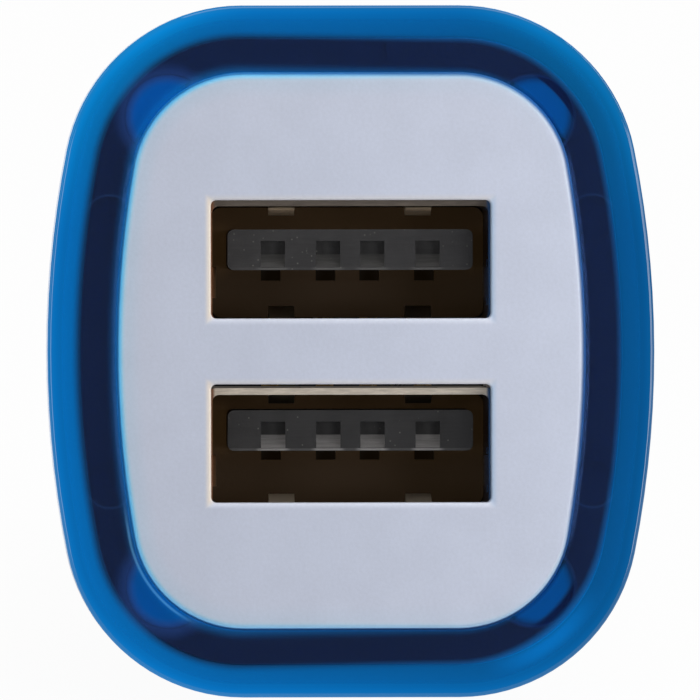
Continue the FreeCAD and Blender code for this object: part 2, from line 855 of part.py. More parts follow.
def all_pieces():
    controller_at, small_capacitors_at, drum_at, regulator_at, diode_at = in_a_row(upper_lengths)
    resistors_at, input_can_at, output_can_at = in_a_row([
        chip_part_size[1], input_can_length + lead_run, output_can_length + lead_run,
    ])
    return {
        "face_plate": face_plate(),
        "light_collar": light_collar(),
        "main_body": main_body(),
        "nose_cap": nose_cap(),
        "tip_contact": tip_contact(),
        "tip_spring": tip_spring(),
        "spring_seat": spring_seat(),
        "ground_contact_left": ground_contact(-1),
        "ground_contact_right": ground_contact(1),
        "main_board": main_board(),
        "usb_shell_upper": usb_shell(1),
        "usb_shell_lower": usb_shell(-1),
        "usb_insulator_upper": usb_insulator(1),
        "usb_insulator_lower": usb_insulator(-1),
        "usb_contacts_upper": usb_contacts(1),
        "usb_contacts_lower": usb_contacts(-1),
        "inductor_core": inductor_core(drum_at),
        "inductor_winding": inductor_winding(drum_at),
        "input_capacitor": lying_capacitor(input_can_radius, input_can_length, input_can_at),
        "output_capacitor": lying_capacitor(output_can_radius, output_can_length, output_can_at),
        "regulator_chip": leaded_chip(regulator_size, regulator_at, regulator_lead_count),
        "port_controller_chip": leaded_chip(controller_size, controller_at, controller_lead_count),
        "rectifier_diode": rectifier_diode(diode_at),
        "indicator_leds": indicator_leds(),
        "chip_resistors": chip_row(resistors_at, -1, chip_part_size[2]),
        "chip_capacitors": chip_row(small_capacitors_at, 1, small_capacitor_height),
    }


def resting_place(pieces):
    """Placement that lays the charger on its side, centred over its footprint.

    It rests on the lowest edge of the collar's widest section and on the barrel's front edge.
    """
    drop = collar_half_height - barrel_radius
    span = barrel_end - collar_widest
    tilt = math.atan2(drop, span)
    height = collar_widest * math.sin(tilt) + collar_half_height * math.cos(tilt)
    turn = FreeCAD.Rotation(point(1, 0, 0), -math.degrees(tilt))
    laid = FreeCAD.Placement(point(0, 0, height), turn)
    whole = Part.makeCompound(list(pieces.values()))
    whole.Placement = laid
    reach = whole.optimalBoundingBox(False)
    laid.Base.y = -(reach.YMin + reach.YMax) / 2
    return laid


os.makedirs("parts", exist_ok=True)
pieces = all_pieces()
laid = resting_place(pieces)
for name, shape in pieces.items():
    shape.Placement = laid.multiply(shape.Placement)
    shape.exportStep("parts/" + name + ".step")
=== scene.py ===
import json
import math
from functools import cached_property

import bpy
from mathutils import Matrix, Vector


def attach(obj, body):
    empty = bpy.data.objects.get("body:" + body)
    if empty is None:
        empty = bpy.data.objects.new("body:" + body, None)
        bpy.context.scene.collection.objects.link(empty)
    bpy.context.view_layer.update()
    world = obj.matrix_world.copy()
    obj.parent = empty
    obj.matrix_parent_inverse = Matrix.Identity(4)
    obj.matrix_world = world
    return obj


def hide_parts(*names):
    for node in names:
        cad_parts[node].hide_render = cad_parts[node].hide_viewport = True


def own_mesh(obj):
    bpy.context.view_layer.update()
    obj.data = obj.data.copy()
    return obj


# The finish of a car charger: a white plate with two USB ports, in a clear blue ring, and the
# black plug behind it. Places on the plug are in millimetres along its own axes: across the
# face, in from the face, and up the face.

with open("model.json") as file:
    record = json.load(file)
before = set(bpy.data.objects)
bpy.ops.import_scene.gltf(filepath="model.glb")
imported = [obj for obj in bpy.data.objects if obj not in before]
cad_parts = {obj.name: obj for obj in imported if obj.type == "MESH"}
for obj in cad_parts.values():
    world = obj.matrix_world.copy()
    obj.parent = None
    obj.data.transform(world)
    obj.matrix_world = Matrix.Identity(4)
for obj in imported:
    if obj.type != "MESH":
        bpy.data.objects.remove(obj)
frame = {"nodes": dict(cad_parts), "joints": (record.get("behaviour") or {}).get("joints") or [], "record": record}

bl_info = {
    "name": "Car charger finish",
    "version": (1, 0, 0),
    "blender": (4, 5, 0),
    "location": "3D View > Sidebar > Charger",
    "description": "Dresses the pieces of a car charger with procedural materials and lights them",
    "category": "Material",
}

SIDEBAR_TAB = "Charger"
MM = 0.001


def mount_place(name):
    """Where the record puts one mount, in metres."""
    return next(Vector(m["pos_m"]) for m in frame["record"]["mounts"] if m["name"] == name)


def joint_axis(name):
    return next(Vector(j["axis"]) for j in frame["joints"] if j["name"] == name)


PORT_UPPER = mount_place("usb_port_upper")
PORT_LOWER = mount_place("usb_port_lower")
FACE_CENTRE = (PORT_UPPER + PORT_LOWER) / 2
OUTWARD = joint_axis("tip_press").normalized()
UPWARD = (PORT_UPPER - PORT_LOWER).normalized()
ACROSS = Vector((1, 0, 0))

# Places on the face in mm, beside and above its centre. A form is the half width, half height,
# side radius and corner radius of an outline.
PLATE_FORM = (10.5, 12.5, 47.5, 5.0)
COLLAR_FORM = (13.77, 15.69, 46.8, 8.14)
WINDOW_HEIGHT = 4.16
WINDOW_HALF = (6.325, 2.675)
FOOT_PLACE = (8.25, 10.6)
FOOT_RADIUS = 1.9
BOSS_PLACE = (10.9, 6.0)
BOSS_RADIUS = 1.07
SHEEN_PLACE = (8.6, 12.6)
SHELL_MIDDLE = {"upper": 4.005, "lower": -4.525}
SHELL_INNER_HALF = 6.25
SHELL_HALF_HEIGHT = 2.86
TONGUE_BOTTOM = {"upper": 3.67, "lower": -4.51}
RECESS_RISE = 0.72
CONTACT_PLACES = (1.0, 3.5)

# Ranges in mm in which a mask changes. Ends lie above and below the middle, and sides beside it.
# The fingers' rise goes from a port's middle up to them and past them.
OVER_MIDDLE = (-1.0, 1.0)
PLATE_ENDS = (9.0, 12.4)
RING_ENDS = (9.5, 12.5)
SHELL_SIDES = (6.0, 6.2)
FINGER_SIDES = (5.6, 5.8)
TONGUE_SIDES = (5.3, 5.65)
CONTACT_SIDES = (0.45, 0.85)
FINGER_RISE = (1.6, 1.7, 2.46, 2.52)

# Depths in mm from the face: three fronts, the start and end of the shade before the block, and
# where the plate and the ring round over at the front
SHELL_FRONT = 1.65
TONGUE_FRONT = 2.65
BLOCK_FRONT = 11.95
BLOCK_SHADE = (9.0, 11.5)
PLATE_ROUND = (0.25, 0.35)
FRONT_ROUND = (0.5, 0.6)

# Widths in mm: the ring over the black head's edge, the soft edge's half width, the ring's bent
# outer band, and the light on a window's rim
HEAD_EDGE = 1.55
HEAD_EDGE_BLUR = 0.27
EDGE_BEND = (0.62, 0.74)
RIM_REACH = (0.05, 0.32)

# Across times up, in square mm, where the head's corners begin and where they are full
CORNER_RANGE = (60.0, 140.0)

# Heights that the grain and the drawn lines mostly keep between
GRAIN_RANGE = (0.2, 0.8)
LINE_RANGE = (0.3, 0.7)

BLACK = (0.0, 0.0, 0.0)
SLOT_SHADE = (0.004, 0.004, 0.003)
LAMP_TINT = (0.55, 0.8, 0.95, 1)


def srgb(red, green, blue):
    """A screen colour, given from 0 to 255, as the linear colour that a shader takes."""
    def linear(value):
        share = value / 255
        return share / 12.92 if share <= 0.04045 else ((share + 0.055) / 1.055) ** 2.4
    return (linear(red), linear(green), linear(blue))


def colour_property(name, description, default):
    return bpy.props.FloatVectorProperty(
        name=name, description=description, default=default, size=3, subtype="COLOR", min=0, max=1)


def size_property(name, description, default):
    """A length in millimetres on the plug."""
    return bpy.props.FloatProperty(name=name, description=description, default=default, min=0, unit="NONE")


def share_property(name, description, default):
    return bpy.props.FloatProperty(
        name=name, description=description, default=default, min=0, max=1, subtype="FACTOR")


class ChargerPlateFinish(bpy.types.PropertyGroup):
    colour: colour_property("Plate colour", "Cool white of the moulded face plate", srgb(191, 197, 214))
    roughness: share_property("Roughness", "How matt the plate is", 0.5)
    grain: size_property("Grain", "Size of the plate's moulded grain in mm", 0.16)
    grain_depth: size_property("Grain depth", "Height of the plate's moulded grain in mm", 0.004)
    # The rim colours are painted light and shade on the windows' rims: a warm painted highlight on the left,
    # painted blue shade on the right, a grey tone above and a bright painted highlight below.
    rim_left: colour_property("Left rim", "Warm light on the windows' left rims", srgb(234, 222, 208))
    rim_right: colour_property("Right rim", "Blue shade on the windows' right rims", srgb(166, 184, 208))
    rim_above: colour_property("Upper rim", "The windows' upper rims", srgb(200, 200, 207))
    rim_below: colour_property("Lower rim", "The windows' bright lower rims", srgb(216, 221, 236))
    # The edge colours are painted light and shade: the ring's blue light on the edge, a shade on its right side,
    # and glow where it turns down and beside the ring.
    edge_tint: colour_property("Edge tint", "Blue light of the ring on the edge", srgb(158, 246, 255))
    edge_shade: colour_property("Edge shade", "Shade on the plate's right edge", srgb(130, 150, 180))
    underside: colour_property("Underside", "Light on the plate's lower edge", srgb(108, 128, 132))
    edge_glow: colour_property("Edge glow", "Light of the ring in the plate's edge", srgb(0, 94, 146))


class ChargerCollarFinish(bpy.types.PropertyGroup):
    colour: colour_property("Collar colour", "White light that has crossed the ring", srgb(0, 110, 186))
    # Painted glint: the band's colour at its upper corners.
    corner_glint_colour: colour_property("Corner colour", "The band at its upper corners", srgb(0, 118, 184))
    # Painted reflection on the band's outermost, rounded edge.
    rim_colour: colour_property("Rim colour", "The band's outermost edge", srgb(24, 112, 168))
    shade_colour: colour_property("Shaded colour", "Ring over the black body", srgb(68, 96, 156))
    # Painted shade: deep blue on the ring just outside the black head.
    head_edge_shade: colour_property("Head edge colour", "Just outside the black head", srgb(16, 32, 58))
    # The thin edge colour is partly the ring's own blue where it thins and partly painted light beside the plate,
    # stronger on the left.
    thin_colour: colour_property("Thin edge colour", "Where the ring thins out at the plate",
                                 srgb(6, 84, 142))
    glow_colour: colour_property("Glow colour", "Light out of the ring beside the plate", srgb(4, 84, 142))
    streak_colour: colour_property("Streak colour", "Lamp's line in the inner edge", srgb(56, 98, 120))
    foot_colour: colour_property("Foot colour", "Blue over the middle of the plate's feet", srgb(0, 104, 176))
    # Painted shade over the feet's edges.
    foot_edge_shade: colour_property("Foot rim colour", "Blue over the feet's edges", srgb(56, 80, 124))
    foot_end_colour: colour_property("Foot end colour", "Where the right feet end", srgb(38, 68, 118))
    foot_glow_colour: colour_property("Foot glow colour", "Light out of the ring, over the feet",
                                      srgb(0, 54, 94))
    bloom_colour: colour_property("Bloom colour", "Faint light around the left feet", srgb(18, 40, 82))
    # Painted light: a faint glow on the arcs of the ring's bosses.
    boss_colour: colour_property("Boss colour", "Faint edge of the ring's bosses", srgb(12, 26, 46))
    clearness: share_property("Clearness", "Share of light that passes, the rest is milky", 0.95)
    roughness: share_property("Roughness", "How much the ring blurs what lies behind it", 0.06)
    ior: bpy.props.FloatProperty(name="Refraction", description="Index of refraction of the clear plastic",
                                 default=1.49, min=1, max=2)


class ChargerPlugFinish(bpy.types.PropertyGroup):
    body_colour: colour_property("Body colour", "Black of the head and barrel", srgb(30, 31, 34))
    nose_colour: colour_property("Nose colour", "Black of the nose cap", srgb(24, 24, 27))
    nickel_colour: colour_property("Nickel colour", "Plated tip", srgb(205, 200, 190))
    contact_colour: colour_property("Contact colour", "Sprung side contacts", srgb(190, 190, 186))


class ChargerPortFinish(bpy.types.PropertyGroup):
    shell_colour: colour_property("Shell colour", "Tin-plated sheet of the port shells", srgb(150, 135, 112))
    # Painted light on the shells' cut edges: a bright painted highlight on the lower shell, a painted shade on the
    # upper one.
    edge_colour: colour_property("Edge colour", "Bright cut edge of the shell sheet", srgb(202, 191, 175))
    shaded_edge_colour: colour_property("Dull edge colour", "Cut edge of the upper shell", srgb(92, 83, 74))
    # Painted highlights on the fingers that catch the light, in the lower port's floor and the upper port's roof.
    finger_highlight: colour_property("Finger colour", "Fingers in the lower port's floor", srgb(160, 147, 130))
    roof_finger_highlight: colour_property("Worn colour", "Worn fingers in the upper port's roof", srgb(212, 186, 156))
    # Painted light and shade on the shells' walls: lit on the left, shaded on the right.
    lit_wall_colour: colour_property("Warm tint", "Left walls of the shells", srgb(120, 76, 46))
    shaded_wall_colour: colour_property("Cool tint", "Right walls of the shells", srgb(28, 70, 114))
    bounce_colour: colour_property("Bounce colour", "Faint light of the shell on the moulding",
                                   srgb(20, 13, 5))
    roof_colour: colour_property("Roof colour", "Faint light on the shells' outer roofs", srgb(104, 98, 92))
    tongue_colour: colour_property("Tongue colour", "Charcoal moulding of the tongues", srgb(58, 57, 58))
    block_colour: colour_property("Block colour", "Brown moulding deep in the port", srgb(82, 60, 36))
    speck_colour: colour_property("Speck colour", "Dust and glass filler on the tongues", srgb(150, 148, 140))


class ChargerStudio(bpy.types.PropertyGroup):
    distance: bpy.props.FloatProperty(name="Camera distance", description="From the face plate to the camera",
                                      default=1.0, unit="LENGTH")
    azimuth: bpy.props.FloatProperty(name="Azimuth", description="Camera angle to the face's left",
                                     default=math.radians(0.8), unit="ROTATION")
    elevation: bpy.props.FloatProperty(name="Elevation", description="Camera angle above the face's axis",
                                       default=math.radians(0.3), unit="ROTATION")
    pixels_per_mm: bpy.props.FloatProperty(
        name="Scale", description="Photograph pixels to a millimetre of face", default=22.15)
    sky_level: bpy.props.FloatProperty(
        name="Sky level", description="Strength of the even light", default=0.07)


class Signal:
    """What comes out of a node: a number, place, colour or shader. Sums of numbers make new nodes."""

    def __init__(self, socket):
        self.socket = socket
        self.tree = socket.id_data

    def __add__(self, other):
        return calculated("ADD", self, other)

    def __sub__(self, other):
        return calculated("SUBTRACT", self, other)

    def __rsub__(self, other):
        return calculated("SUBTRACT", other, self)

    def __mul__(self, other):
        return calculated("MULTIPLY", self, other)

    def __truediv__(self, other):
        return calculated("DIVIDE", self, other)

    def __rtruediv__(self, other):
        return calculated("DIVIDE", other, self)

    def __abs__(self):
        return calculated("ABSOLUTE", self)


def node(tree, kind, inputs=None, **settings):
    """A node of one kind. Each input is a plain value, or the signal that feeds it."""
    made = tree.nodes.new(kind)
    for name, value in settings.items():
        setattr(made, name, value)
    for key, value in (inputs or {}).items():
        if isinstance(value, Signal):
            tree.links.new(value.socket, made.inputs[key])
        else:
            made.inputs[key].default_value = value
    return made


def signals(made):
    """A node's outputs by name."""
    return {socket.name: Signal(socket) for socket in made.outputs}


def made_from(kind, inputs, output=0, **settings):
    """What one node makes of its inputs, in the tree of the signals among them."""
    tree = next(value.tree for value in inputs.values() if isinstance(value, Signal))
    return Signal(node(tree, kind, inputs, **settings).outputs[output])


def calculated(operation, *values):
    return made_from("ShaderNodeMath", dict(enumerate(values)), operation=operation)


def largest(*values):
    result = values[0]
    for value in values[1:]:
        result = calculated("MAXIMUM", result, value)
    return result


def length(sideways, upward):
    """Length of a way that goes sideways and up."""
    return calculated("SQRT", sideways * sideways + upward * upward)


def ramp(value, low, high, start=0.0, end=1.0, curve="SMOOTHSTEP"):
    """Value taken from low..high to start..end, held at both ends."""
    limits = {"Value": value, "From Min": low, "From Max": high, "To Min": start, "To Max": end}
    return made_from("ShaderNodeMapRange", limits, interpolation_type=curve)


def fade(value, low, high, full=1.0):
    """Full up to low, and nothing from high on."""
    return ramp(value, low, high, full, 0.0)


def between(value, rise, full, fall, end):
    """Rises from rise to full, and falls again from fall to end."""
    return ramp(value, rise, full) * fade(value, fall, end)


def blend_colour(share, first, second, blend_type="MIX"):
    """Second colour over the first by a share."""
    inputs = {0: share}
    for index, colour in ((6, first), (7, second)):
        inputs[index] = colour if isinstance(colour, Signal) else (*colour[:3], 1)
    return made_from("ShaderNodeMix", inputs, 2, data_type="RGBA", blend_type=blend_type)


def scaled_colour(colour, factor):
    """A colour made lighter or darker by a signal."""
    return made_from("ShaderNodeVectorMath", {0: colour, 3: factor}, operation="SCALE")


def shade(colour, factor):
    return tuple(part * factor for part in colour[:3])


def split(vector):
    return signals(node(vector.tree, "ShaderNodeSeparateXYZ", {0: vector})).values()


def noise(place, scale, detail, roughness=0.5):
    inputs = {"Vector": place, "Scale": scale, "Detail": detail, "Roughness": roughness}
    return made_from("ShaderNodeTexNoise", inputs)


def effect(name, inputs, outputs, build):
    """A shader node group with named inputs and outputs, made once and then shared."""
    made = bpy.data.node_groups.get(name)
    if made:
        return made
    made = bpy.data.node_groups.new(name, "ShaderNodeTree")
    for label, kind, default in inputs:
        socket = made.interface.new_socket(label, in_out="INPUT", socket_type="NodeSocket" + kind)
        if default is not None:
            socket.default_value = default
    for label, kind in outputs:
        made.interface.new_socket(label, in_out="OUTPUT", socket_type="NodeSocket" + kind)
    source = signals(made.nodes.new("NodeGroupInput"))
    target = made.nodes.new("NodeGroupOutput").inputs
    for label, signal in build(made, source).items():
        made.links.new(signal.socket, target[label])
    return made


def placed(tree, group, **values):
    """One use of a shared effect. Words in a value's name stand for the spaces of its label."""
    inputs = {name.replace("_", " ").capitalize(): value for name, value in values.items()}
    return signals(node(tree, "ShaderNodeGroup", inputs, node_tree=group))


def plug_place():
    """Place on the plug in mm: across the face, in from it, and up it."""
    def build(tree, source):
        here = signals(node(tree, "ShaderNodeTexCoord"))["Object"]
        offset = made_from("ShaderNodeVectorMath", {0: here, 1: FACE_CENTRE}, operation="SUBTRACT")
        parts = {}
        for number, axis in enumerate((ACROSS, -OUTWARD, UPWARD)):
            along = made_from("ShaderNodeVectorMath", {0: offset, 1: axis}, "Value", operation="DOT_PRODUCT")
            parts[number] = along / MM
        return {"Place": made_from("ShaderNodeCombineXYZ", parts)}
    return effect("plug_place", [], [("Place", "Vector")], build)


def moulded_grain():
    """Fine grain of moulded plastic: its height, and a slow mottle of its tone."""
    def build(tree, source):
        fine = noise(source["Place"], 1.0 / source["Size"], 3.0, 0.6)
        wide = noise(source["Place"], source["Mottle"], 2.0)
        return {"Height": fine, "Tone": ramp(wide, 0.3, 0.7)}
    inputs = [("Place", "Vector", None), ("Size", "Float", 0.2), ("Mottle", "Float", 0.3)]
    return effect("moulded_grain", inputs, [("Height", "Float"), ("Tone", "Float")], build)


def drawn_lines():
    """Fine lines along one way, as on rolled or brushed sheet: height and tone."""
    def build(tree, source):
        stretch = {0: source["Place"], 1: source["Stretch"]}
        lines = noise(made_from("ShaderNodeVectorMath", stretch, operation="MULTIPLY"), 1.0, 4.0, 0.7)
        return {"Height": lines, "Tone": ramp(lines, 0.35, 0.7)}
    inputs = [("Place", "Vector", None), ("Stretch", "Vector", (6.0, 0.3, 6.0))]
    return effect("drawn_lines", inputs, [("Height", "Float"), ("Tone", "Float")], build)


def dust_specks():
    """Sparse pale specks of dust and glass filler."""
    def build(tree, source):
        scatter = {"Vector": source["Place"], "Scale": 1.0 / source["Spacing"]}
        cells = signals(node(tree, "ShaderNodeTexVoronoi", scatter))
        chance, _, _ = split(cells["Color"])
        chosen = calculated("LESS_THAN", chance, source["Share"])
        return {"Mask": chosen * fade(cells["Distance"], 0.0, source["Size"])}
    inputs = [("Place", "Vector", None), ("Spacing", "Float", 0.4), ("Size", "Float", 0.2),
              ("Share", "Float", 0.2)]
    return effect("dust_specks", inputs, [("Mask", "Float")], build)


def fine_scratches():
    """Thin hair scratches in several directions."""
    def build(tree, source):
        scratches = []
        for number, angle in enumerate((0.4, 1.7, 2.6)):
            turn = {"Vector": source["Place"], "Angle": angle}
            turned = made_from("ShaderNodeVectorRotate", turn, rotation_type="Y_AXIS")
            shift = {0: turned, 1: (9.0, 1.0, 0.35), 2: (number, 0, 0)}
            moved = made_from("ShaderNodeVectorMath", shift, operation="MULTIPLY_ADD")
            scratches.append(ramp(noise(moved, source["Scale"], 1.0), 0.72, 0.78))
        return {"Mask": largest(*scratches)}
    inputs = [("Place", "Vector", None), ("Scale", "Float", 0.5)]
    return effect("fine_scratches", inputs, [("Mask", "Float")], build)


def head_outline():
    """How far a place lies outside a head outline with two bowed sides and round corners, in mm."""
    def build(tree, source):
        across, _, up = split(source["Place"])
        across = abs(across)
        up = abs(up)
        side_centre = source["Half width"] - source["Side radius"]
        corner_up = source["Half height"] - source["Corner radius"]
        reach = source["Side radius"] - source["Corner radius"]
        spread = calculated("SQRT", reach * reach - corner_up * corner_up)
        over = across - (side_centre + spread)
        above = up - corner_up
        side = length(across - side_centre, up) - source["Side radius"]
        corner = length(over, above) - source["Corner radius"]
        top = up - source["Half height"]
        past_side = calculated("GREATER_THAN", above, over * (corner_up / spread))
        past_corner = calculated("LESS_THAN", over, 0.0) * past_side
        outer = made_from("ShaderNodeMix", {0: past_side, 2: side, 3: corner})
        return {"Growth": made_from("ShaderNodeMix", {0: past_corner, 2: outer, 3: top})}
    inputs = [("Place", "Vector", None), ("Half width", "Float", 10.5), ("Half height", "Float", 12.5),
              ("Side radius", "Float", 47.5), ("Corner radius", "Float", 5.0)]
    return effect("head_outline", inputs, [("Growth", "Float")], build)


def outline_growth(place, form):
    """How far a place lies outside one form of the head's outline, in mm."""
    half_width, half_height, side_radius, corner_radius = form
    return placed(place.tree, head_outline(), place=place, half_width=half_width, half_height=half_height,
                  side_radius=side_radius, corner_radius=corner_radius)["Growth"]


class FacePoint:
    """A place on the plug in one material, in mm, and how far it lies from the head's outlines."""

    def __init__(self, tree):
        self.place = placed(tree, plug_place())["Place"]
        self.across, self.inward, self.up = split(self.place)

    @cached_property
    def growth(self):
        """How far it lies outside the plate."""
        return outline_growth(self.place, PLATE_FORM)

    @cached_property
    def rim(self):
        """How far it lies inside the ring's outline."""
        return outline_growth(self.place, COLLAR_FORM) * -1.0

    @cached_property
    def corner(self):
        """Mask of the head's corners."""
        return ramp(abs(self.across * self.up), *CORNER_RANGE)

    @cached_property
    def right_side(self):
        return ramp(self.across, 0.0, 4.0)

    def over_left(self, left, right):
        """Value that changes evenly from the plate's left edge to its right edge."""
        return ramp(self.across, -PLATE_FORM[0], PLATE_FORM[0], left, right, "LINEAR")

    def distance(self, place):
        """Distance over the face to the nearest of four like places."""
        return length(abs(self.across) - place[0], abs(self.up) - place[1])


def new_material(name):
    """An empty material with its output node."""
    made = bpy.data.materials.new(name)
    made.use_nodes = True
    made.node_tree.nodes.clear()
    output = made.node_tree.nodes.new("ShaderNodeOutputMaterial")
    return made, made.node_tree, output


def bumped(height, depth_mm):
    return made_from("ShaderNodeBump", {"Height": height, "Distance": depth_mm * MM})


def varied_roughness(grain_height, roughness, change):
    """Roughness that the grain changes a little, up and down."""
    return ramp(grain_height, *GRAIN_RANGE, roughness - change, roughness + change)


def surface(tree, output, **inputs):
    """Principled shader on the material's output. A value's name is the socket's with underscores."""
    titles = {"ior": "IOR", "specular_ior_level": "Specular IOR Level"}
    named = {titles.get(name, name.replace("_", " ").title()): value for name, value in inputs.items()}
    shader = node(tree, "ShaderNodeBsdfPrincipled", named).outputs[0]
    tree.links.new(shader, output.inputs["Surface"])
    return Signal(shader)


def dress(name, material):
    """Gives one CAD node its material."""
    piece = frame["nodes"][name]
    piece.data.materials.clear()
    piece.data.materials.append(material)


def dress_all(names, material):
    for name in names:
        dress(name, material)


def window_rims(at, finish):
    """Share and colour of the painted light and shade on the rims of the plate's two windows."""
    port_up = at.up - calculated("SIGN", at.up) * WINDOW_HEIGHT
    beside = abs(at.across) - WINDOW_HALF[0]
    above = abs(port_up) - WINDOW_HALF[1]
    side = blend_colour(ramp(at.across, *OVER_MIDDLE), finish.rim_left, finish.rim_right)
    end = blend_colour(ramp(port_up, *OVER_MIDDLE), finish.rim_below, finish.rim_above)
    colour = blend_colour(ramp(beside - above, -0.3, 0.3), end, side)
    return fade(largest(beside, above), *RIM_REACH), colour


def plate_edge(at, finish, colour):
    """The plate's colour with the ring's blue light and a shade painted on its edge, and painted glow there, most
    of it on the left.
    """
    ends = ramp(abs(at.up), *PLATE_ENDS)
    blue = calculated("MINIMUM", ends * 0.15 + at.over_left(1.0, 0.0), 1.0)
    blue = blue * ramp(at.up, -12.0, -8.0, 0.75, 1.0)
    faint = ramp(at.growth, -1.2, -0.1, 0.0, 0.2)
    colour = blend_colour(faint * blue, colour, finish.edge_tint, "MULTIPLY")
    colour = blend_colour(ramp(at.growth, -0.33, 0.0) * blue, colour, finish.edge_tint, "MULTIPLY")
    dark = ramp(at.growth, -0.16, 0.0) * at.over_left(0.0, 1.0)
    colour = blend_colour(dark, colour, finish.edge_shade, "MULTIPLY")
    light = scaled_colour(tuple(finish.edge_glow), ramp(at.growth, -0.24, -0.02) * blue)
    under = ramp(at.growth, -0.14, -0.04) * ramp(at.up, -6.0, -10.0) * at.over_left(0.15, 1.1)
    light = blend_colour(under, light, finish.underside, "ADD")
    return colour, scaled_colour(light, fade(at.inward, *PLATE_ROUND))


def white_plate(finish):
    """Cool white moulding with a fine matt grain, in the blue light of the ring."""
    made, tree, output = new_material("white_plate")
    at = FacePoint(tree)
    grain = placed(tree, moulded_grain(), place=at.place, size=finish.grain, mottle=0.35)
    colour = blend_colour(grain["Tone"], shade(finish.colour, 0.975), shade(finish.colour, 1.015))
    rim, rim_colour = window_rims(at, finish)
    # Painted light: the plate is painted brighter near its edge, to its right and towards its top.
    along_edge = ramp(at.growth, -0.42, -0.12, 1.0, at.up * 0.003 + 1.05)
    over_face = at.over_left(0.93, 1.03) * (at.up * 0.0012 + 0.985)
    speckle = ramp(grain["Height"], *GRAIN_RANGE, 0.965, 1.03)
    level = speckle * along_edge * over_face
    colour = scaled_colour(blend_colour(rim, colour, rim_colour), level)
    colour, light = plate_edge(at, finish, colour)
    surface(tree, output, base_color=colour, emission_color=light, emission_strength=1.0,
            roughness=varied_roughness(grain["Height"], finish.roughness, 0.06),
            normal=bumped(grain["Height"], finish.grain_depth))
    return made


def clear_band(at, finish):
    """Colour of the clear band outside the black head, with painted light: brighter to the left and outwards, a
    sheen low on the right, glints at the upper corners, a reflection at the outer edge.
    """
    level = ramp(at.rim, 0.1, 1.4, 1.08, 0.84) * ramp(at.rim, 0.25, 0.6, 1.1, 1.0)
    level = level * (at.across * -0.015 + 0.845)
    sheen = fade(at.distance(SHEEN_PLACE), 0.6, 3.4, 0.42) * at.right_side * ramp(at.up, 0.0, -4.0)
    sheen = sheen * ramp(at.rim, 0.55, 1.0) * ramp(at.rim, 1.28, 1.5, 1.0, 0.1)
    upper_corner = at.corner * ramp(at.up, -6.0, 8.0)
    glint = upper_corner * fade(at.rim, 0.25, 1.1, 0.28)
    colour = blend_colour(upper_corner * 0.7, finish.colour, finish.corner_glint_colour)
    colour = blend_colour(fade(at.rim, 0.05, 0.4, 0.75), colour, finish.rim_colour)
    return scaled_colour(colour, level + sheen + glint)


def over_head(at, finish, band):
    """Colour and glow over the black head: a painted deep blue shade just outside its edge, and the band's colour
    as painted glow. The blue fades over its edge, first at the lower right.
    """
    lower_right = at.corner * ramp(at.across, 0.0, 8.0) * (at.up * -0.006 + 0.12)
    start = ramp(at.across, -8.0, 8.0, HEAD_EDGE - 0.185, HEAD_EDGE + 0.035)
    clear = ramp(start - at.rim + lower_right, -HEAD_EDGE_BLUR, HEAD_EDGE_BLUR)
    colour = blend_colour(clear, finish.head_edge_shade, band)
    colour = blend_colour(ramp(at.rim, HEAD_EDGE - 0.02, HEAD_EDGE + 0.04), colour, finish.shade_colour)
    lit = ramp(at.rim, HEAD_EDGE - 0.05, HEAD_EDGE - 0.02)
    return colour, blend_colour(lit, BLACK, scaled_colour(band, clear))


def plate_feet(at, finish, colour, glow):
    """The plate's feet through the ring: painted shade at their edge, a painted bloom of light on the left, a
    painted light ring and a cut on the right, and painted glow over them.
    """
    away = at.distance(FOOT_PLACE) - FOOT_RADIUS
    behind = fade(away, 0.02, 0.1)
    cut = ramp(at.growth, ramp(at.up, -8.0, 8.0, 0.86, 1.0), 1.12) * at.right_side
    foot = fade(away, -0.5, 0.04) * (1.0 - cut)
    colour = blend_colour(behind, colour, finish.foot_edge_shade)
    colour = blend_colour(foot, colour, finish.foot_colour)
    colour = blend_colour(behind * cut, colour, finish.foot_end_colour)
    gap = between(away, -0.14, -0.05, 0.01, 0.1) * at.right_side * 0.45
    glow = blend_colour(gap, glow, finish.bloom_colour, "ADD")
    bloom = between(away, -0.5, -0.1, -0.1, 0.7) * ramp(at.across, -4.0, -8.0)
    glow = blend_colour(bloom, glow, finish.bloom_colour, "ADD")
    return colour, blend_colour(foot * ramp(at.growth, 0.1, 0.3), glow, finish.foot_glow_colour, "ADD")


def plate_light(at, finish, colour, glow):
    """Painted light that leaves the ring beside the plate, most on the left, with a lamp's thin line there as a
    painted reflection.
    """
    thin = fade(at.growth, 0.05, 0.3) * at.over_left(1.0, 0.55)
    colour = blend_colour(thin, colour, finish.thin_colour)
    ends = ramp(abs(at.up), *RING_ENDS)
    near = largest(1.0 - at.growth / (ends * 0.12 + at.over_left(0.64, 0.2)), 0.0)
    near = near * near * (ends * 0.3 + at.over_left(1.0, 0.2))
    glow = blend_colour(near, glow, finish.glow_colour, "ADD")
    streak = between(at.growth, 0.18, 0.25, 0.27, 0.36)
    streak = streak * ramp(at.across, -6.9, -8.3) * ramp(at.up, -6.6, -8.6)
    return colour, blend_colour(streak, glow, finish.streak_colour, "ADD")


def boss_arcs(at, finish, glow):
    """Arcs of the round bosses behind the front wall, painted as faint light."""
    arc = between(at.distance(BOSS_PLACE) - BOSS_RADIUS, -0.09, -0.02, 0.02, 0.09)
    return blend_colour(arc * ramp(abs(at.up) - BOSS_PLACE[1], 0.3, 0.8), glow, finish.boss_colour, "ADD")


def bent_edge(at, colour, glow, band):
    """The ring's outermost edge bends what lies behind it, and carries the band's colour as light."""
    edge = fade(at.rim, *EDGE_BEND) * fade(at.inward, *FRONT_ROUND)
    wall = fade(at.rim, 0.3, 0.5, 0.25) * ramp(at.inward, *FRONT_ROUND)
    bare = 1.0 - edge
    light = edge * ramp(abs(at.across), 8.0, 12.5, 1.0, 0.84) + wall
    return blend_colour(1.0 - bare * bare, colour, BLACK), blend_colour(light, glow, band, "ADD")


